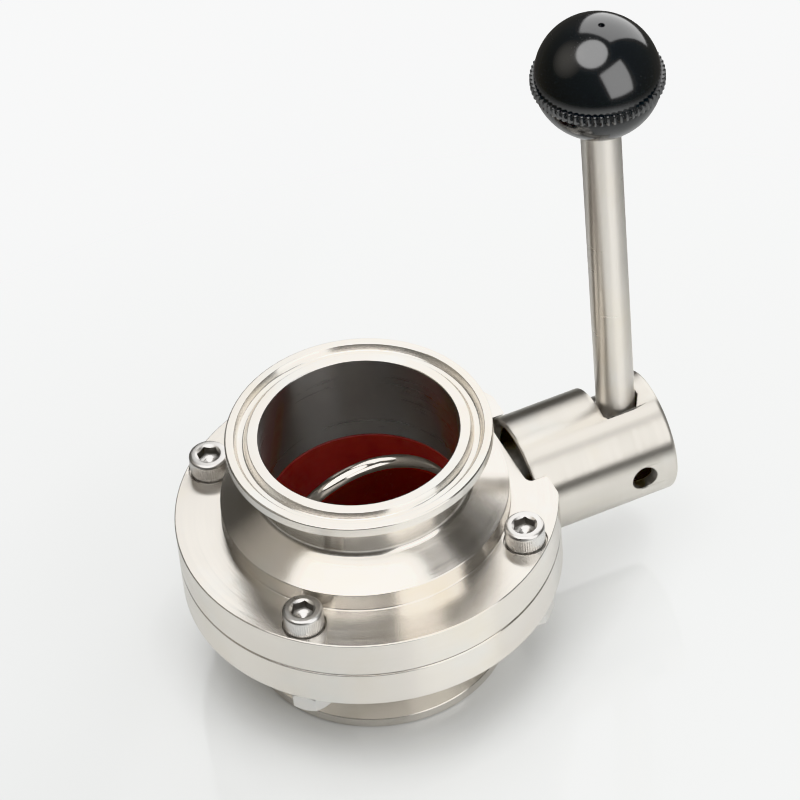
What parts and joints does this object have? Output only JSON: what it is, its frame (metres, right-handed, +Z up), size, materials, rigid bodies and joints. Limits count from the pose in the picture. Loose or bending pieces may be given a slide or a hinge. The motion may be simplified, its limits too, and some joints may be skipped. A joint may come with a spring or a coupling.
{
  "type": "butterfly valve",
  "caption": "Hygienic butterfly valve with clamp ferrules, red silicone seat, bolted flange body and a quarter-turn rod lever with a black ball knob.",
  "frame": {"origin": "centre of the lower clamp face, on the bore axis", "axes": "+Z up along the bore towards the upper ferrule, +X along the stem towards the lever, +Y towards the lever's closed position"},
  "size_m": [0.1289, 0.0928, 0.168],
  "materials": {
    "body_steel": "finely turned stainless steel, bright",
    "disc_steel": "polished stainless steel",
    "sleeve_steel": "satin stainless steel, turned",
    "rod_steel": "drawn and polished stainless steel",
    "core_steel": "machined stainless steel",
    "screw_steel": "stainless screw steel with fine knurl",
    "nut_steel": "stainless steel",
    "seat_silicone": "dark red silicone, satin",
    "seal_rubber": "dark red silicone, satin",
    "bush_ptfe": "white low-friction plastic",
    "knob_plastic": "polished black thermoset plastic",
    "insert_brass": "machined brass"
  },
  "bodies": {
    "valve_body": {"upper_body": "body_steel", "lower_body": "body_steel", "seat_ring": "seat_silicone", "drive_side_bush": "bush_ptfe", "far_side_bush": "bush_ptfe", "drive_side_seal": "seal_rubber", "far_side_seal": "seal_rubber", "cap_screw_1": "screw_steel", "hex_nut_1": "nut_steel", "cap_screw_2": "screw_steel", "hex_nut_2": "nut_steel", "cap_screw_3": "screw_steel", "hex_nut_3": "nut_steel", "cap_screw_4": "screw_steel", "hex_nut_4": "nut_steel", "hub_sleeve": "sleeve_steel", "sleeve_set_screw_1": "screw_steel", "sleeve_set_screw_2": "screw_steel"},
    "handle": {"disc": "disc_steel", "drive_core": "core_steel", "core_pin": "screw_steel", "handle_rod": "rod_steel", "rod_lock_screw": "screw_steel", "ball_knob": "knob_plastic", "knob_insert": "insert_brass"}
  },
  "joints": [
    {"name": "handle_turn", "type": "hinge", "parent": "valve_body", "child": "handle", "pos_m": [0, 0, 0.03485], "axis": [-1, 0, 0], "range_deg": [0, 90]}
  ]
}
